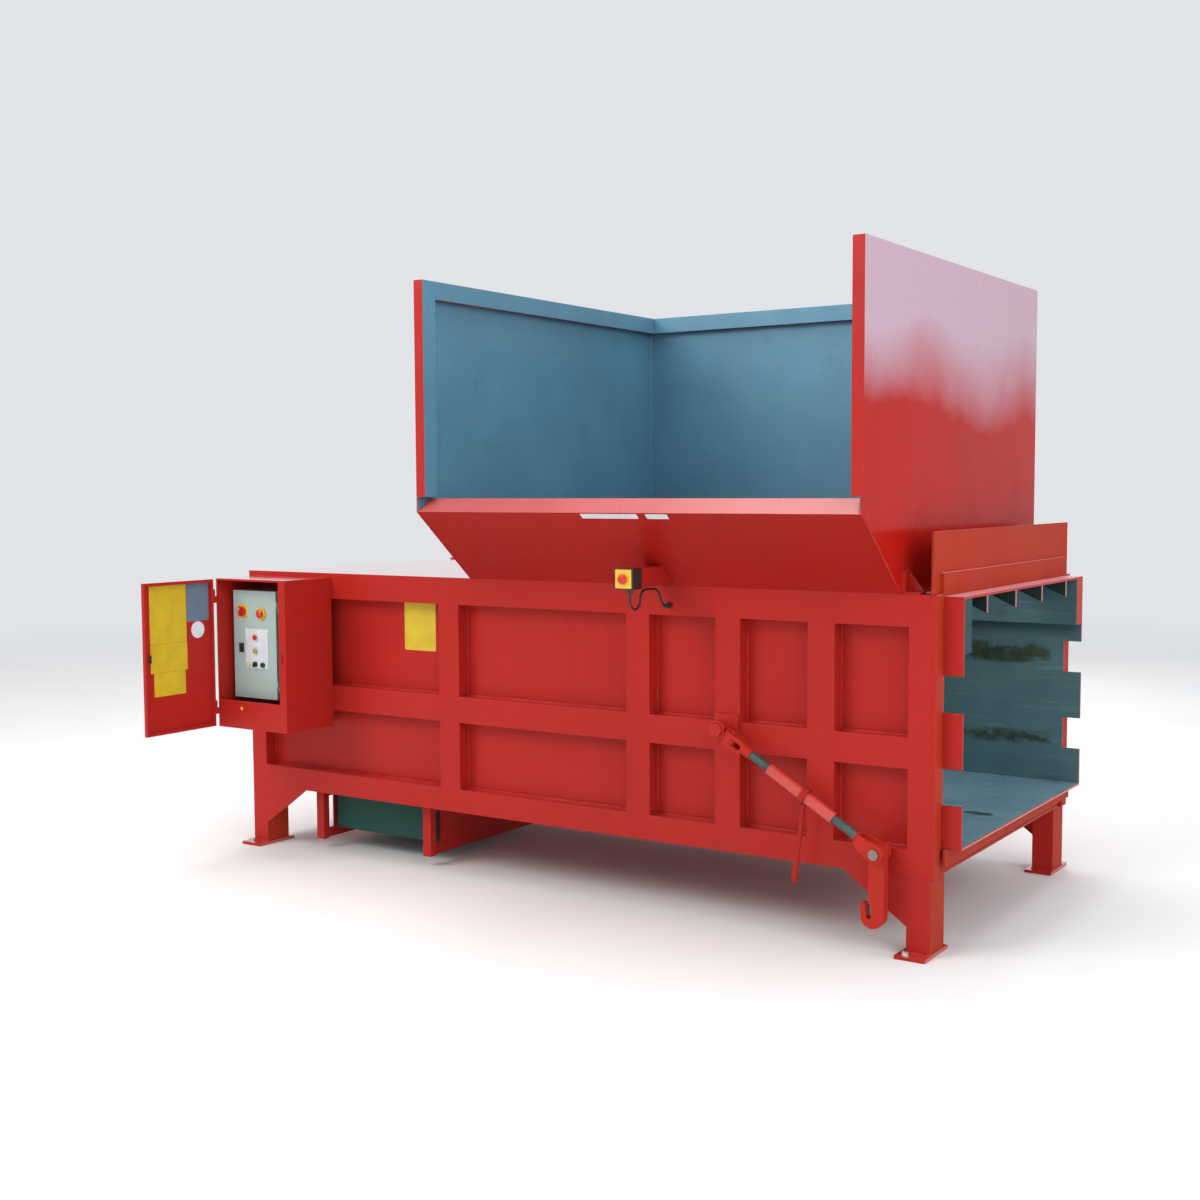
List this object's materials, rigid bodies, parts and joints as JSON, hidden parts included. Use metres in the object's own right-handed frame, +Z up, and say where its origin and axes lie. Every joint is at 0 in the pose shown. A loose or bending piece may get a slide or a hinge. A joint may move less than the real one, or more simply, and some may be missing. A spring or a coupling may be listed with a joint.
{
  "type": "static waste compactor",
  "caption": "Static waste compactor with loading hopper, ram chamber on feet, control cabinet with open door and a turnbuckle clamp that couples a container",
  "frame": {"origin": "on the floor at the centre of the four free anchor holes", "axes": "+X along the machine to its mouth, -Y towards the operator's side, +Z up"},
  "size_m": [3.914, 2.587, 2.8],
  "materials": {
    "red_paint": "gloss paint over welded plate",
    "hopper_paint": "gloss paint, blue-grey worn inside",
    "worn_steel": "bare steel polished by waste",
    "wear_pad": "plain",
    "zinc": "zinc plated",
    "dark_steel": "oiled",
    "chrome_rod": "hard chrome",
    "green_paint": "satin paint",
    "motor_paint": "satin paint",
    "grey_paint": "fine textured powder coat",
    "black_plastic": "moulded",
    "yellow_plastic": "moulded",
    "red_plastic": "moulded",
    "green_plastic": "moulded",
    "white_plastic": "plain plate",
    "lamp_lens": "moulded lens",
    "cable_sheath": "matt sheath"
  },
  "bodies": {
    "machine": {"near_side_wall": "red_paint", "far_side_wall": "red_paint", "near_side_frame": "red_paint", "far_side_frame": "red_paint", "legs": "red_paint", "foot_plates": "red_paint", "floor_bearers": "red_paint", "rear_bulkhead": "red_paint", "rear_cover": "red_paint", "mouth_lintel": "red_paint", "retention_claws": "red_paint", "mouth_upstand": "red_paint", "hopper_front_chute": "red_paint", "pack_hangers": "red_paint", "control_cabinet": "red_paint", "estop_arm": "red_paint", "clamp_lug": "red_paint", "hopper_left_panel": "hopper_paint", "hopper_right_panel": "hopper_paint", "hopper_back_panel": "hopper_paint", "chamber_floor": "worn_steel", "guide_rails": "worn_steel", "anchor_bolts": "zinc", "cylinder_pin": "zinc", "cylinder_barrel": "dark_steel", "oil_tank": "green_paint", "gear_pump": "dark_steel", "pump_motor": "motor_paint", "control_enclosure": "grey_paint", "switchgear": "black_plastic", "side_estop_plate": "yellow_plastic", "estop_box": "black_plastic", "estop_cable": "cable_sheath", "cable_glands": "black_plastic"},
    "ram": {"ram_body": "worn_steel", "ram_pads": "wear_pad", "cylinder_rod": "chrome_rod"},
    "cylinder_middle_stage": {"cylinder_stage": "chrome_rod"},
    "outer_door": {"cabinet_door": "red_paint"},
    "outer_door_lock": {"door_lock": "black_plastic"},
    "panel_door": {"enclosure_door": "grey_paint", "isolator_plate": "yellow_plastic", "estop_collar": "yellow_plastic", "control_plate": "white_plastic", "pilot_lamp": "lamp_lens"},
    "isolator": {"isolator_knob": "red_plastic"},
    "panel_estop": {"estop_button": "red_plastic"},
    "stop": {"stop_button": "red_plastic"},
    "start": {"start_button": "green_plastic"},
    "selector": {"selector_switch": "black_plastic"},
    "key": {"key_switch": "black_plastic"},
    "panel_lock": {"enclosure_lock": "black_plastic"},
    "side_estop": {"side_estop_button": "red_plastic"},
    "swivel": {"clamp_swivel": "red_paint"},
    "fork": {"clamp_fork": "red_paint"},
    "sleeve": {"clamp_sleeve": "red_paint"},
    "clevis": {"clamp_clevis": "red_paint", "clevis_pin": "zinc"},
    "hook": {"container_hook": "red_paint"},
    "lever": {"tommy_bar": "red_paint"}
  },
  "joints": [
    {"name": "ram_slide", "type": "slide", "parent": "machine", "child": "ram", "axis": [1, 0, 0], "range_m": [0, 1.9]},
    {"name": "stage_slide", "type": "slide", "parent": "machine", "child": "cylinder_middle_stage", "axis": [1, 0, 0], "range_m": [0, 0.951]},
    {"name": "door_hinge", "type": "hinge", "parent": "machine", "child": "outer_door", "pos_m": [-1.792, -1.206, 1.05], "axis": [0, 0, -1], "range_deg": [-90, 50]},
    {"name": "door_lock_turn", "type": "hinge", "parent": "outer_door", "child": "outer_door_lock", "pos_m": [-1.792, -1.63, 1.045], "axis": [1, 0, 0], "range_deg": [0, 90]},
    {"name": "panel_hinge", "type": "hinge", "parent": "machine", "child": "panel_door", "pos_m": [-1.4497, -1.093, 1.08], "axis": [0, 0, 1], "range_deg": [0, 100]},
    {"name": "isolator_turn", "type": "hinge", "parent": "panel_door", "child": "isolator", "pos_m": [-1.6881, -1.1083, 1.25878], "axis": [0, -1, 0], "range_deg": [0, 90]},
    {"name": "panel_estop_press", "type": "slide", "parent": "panel_door", "child": "panel_estop", "axis": [0, 1, 0], "range_m": [0, 0.005], "stiffness_N_per_m": 400},
    {"name": "stop_press", "type": "slide", "parent": "panel_door", "child": "stop", "axis": [0, 1, 0], "range_m": [0, 0.003], "stiffness_N_per_m": 400},
    {"name": "start_press", "type": "slide", "parent": "panel_door", "child": "start", "axis": [0, 1, 0], "range_m": [0, 0.003], "stiffness_N_per_m": 400},
    {"name": "selector_turn", "type": "hinge", "parent": "panel_door", "child": "selector", "pos_m": [-1.5999, -1.1083, 0.99379], "axis": [0, -1, 0], "range_deg": [-45, 45]},
    {"name": "key_turn", "type": "hinge", "parent": "panel_door", "child": "key", "pos_m": [-1.548, -1.1083, 0.99211], "axis": [0, -1, 0], "range_deg": [0, 90]},
    {"name": "panel_lock_turn", "type": "hinge", "parent": "panel_door", "child": "panel_lock", "pos_m": [-1.6971, -1.1083, 1.07403], "axis": [0, -1, 0], "range_deg": [0, 90]},
    {"name": "side_estop_press", "type": "slide", "parent": "machine", "child": "side_estop", "axis": [0, 1, 0], "range_m": [0, 0.005], "stiffness_N_per_m": 400},
    {"name": "turnbuckle_lift", "type": "hinge", "parent": "machine", "child": "swivel", "pos_m": [0.97421, -0.95, 0.858], "axis": [0, -1, 0], "range_deg": [0, 50]},
    {"name": "turnbuckle_swing_out", "type": "hinge", "parent": "swivel", "child": "fork", "pos_m": [1.03421, -0.95, 0.82195], "axis": [-0.515, 0, -0.8572], "range_deg": [0, 60]},
    {"name": "sleeve_turn", "type": "hinge", "parent": "fork", "child": "sleeve", "pos_m": [1.36165, -0.95, 0.6252], "axis": [0.8572, 0, -0.515], "range_deg": [-3600, 3600]},
    {"name": "screw_slide", "type": "slide", "parent": "fork", "child": "clevis", "axis": [0.8572, 0, -0.515], "range_m": [-0.0601, 0.0601]},
    {"name": "hook_swing", "type": "hinge", "parent": "clevis", "child": "hook", "pos_m": [1.69851, -0.95, 0.42279], "axis": [0, 1, 0], "range_deg": [-45, 45]},
    {"name": "lever_swing", "type": "hinge", "parent": "fork", "child": "lever", "pos_m": [1.37613, -0.95, 0.6165], "axis": [-0.8572, 0, 0.515], "range_deg": [-8, 120]}
  ],
  "couplings": [
    {"joint": "stage_slide", "follows": "ram_slide", "ratio": 0.5},
    {"joint": "screw_slide", "follows": "sleeve_turn", "m_per_rad": 0.00095493}
  ]
}
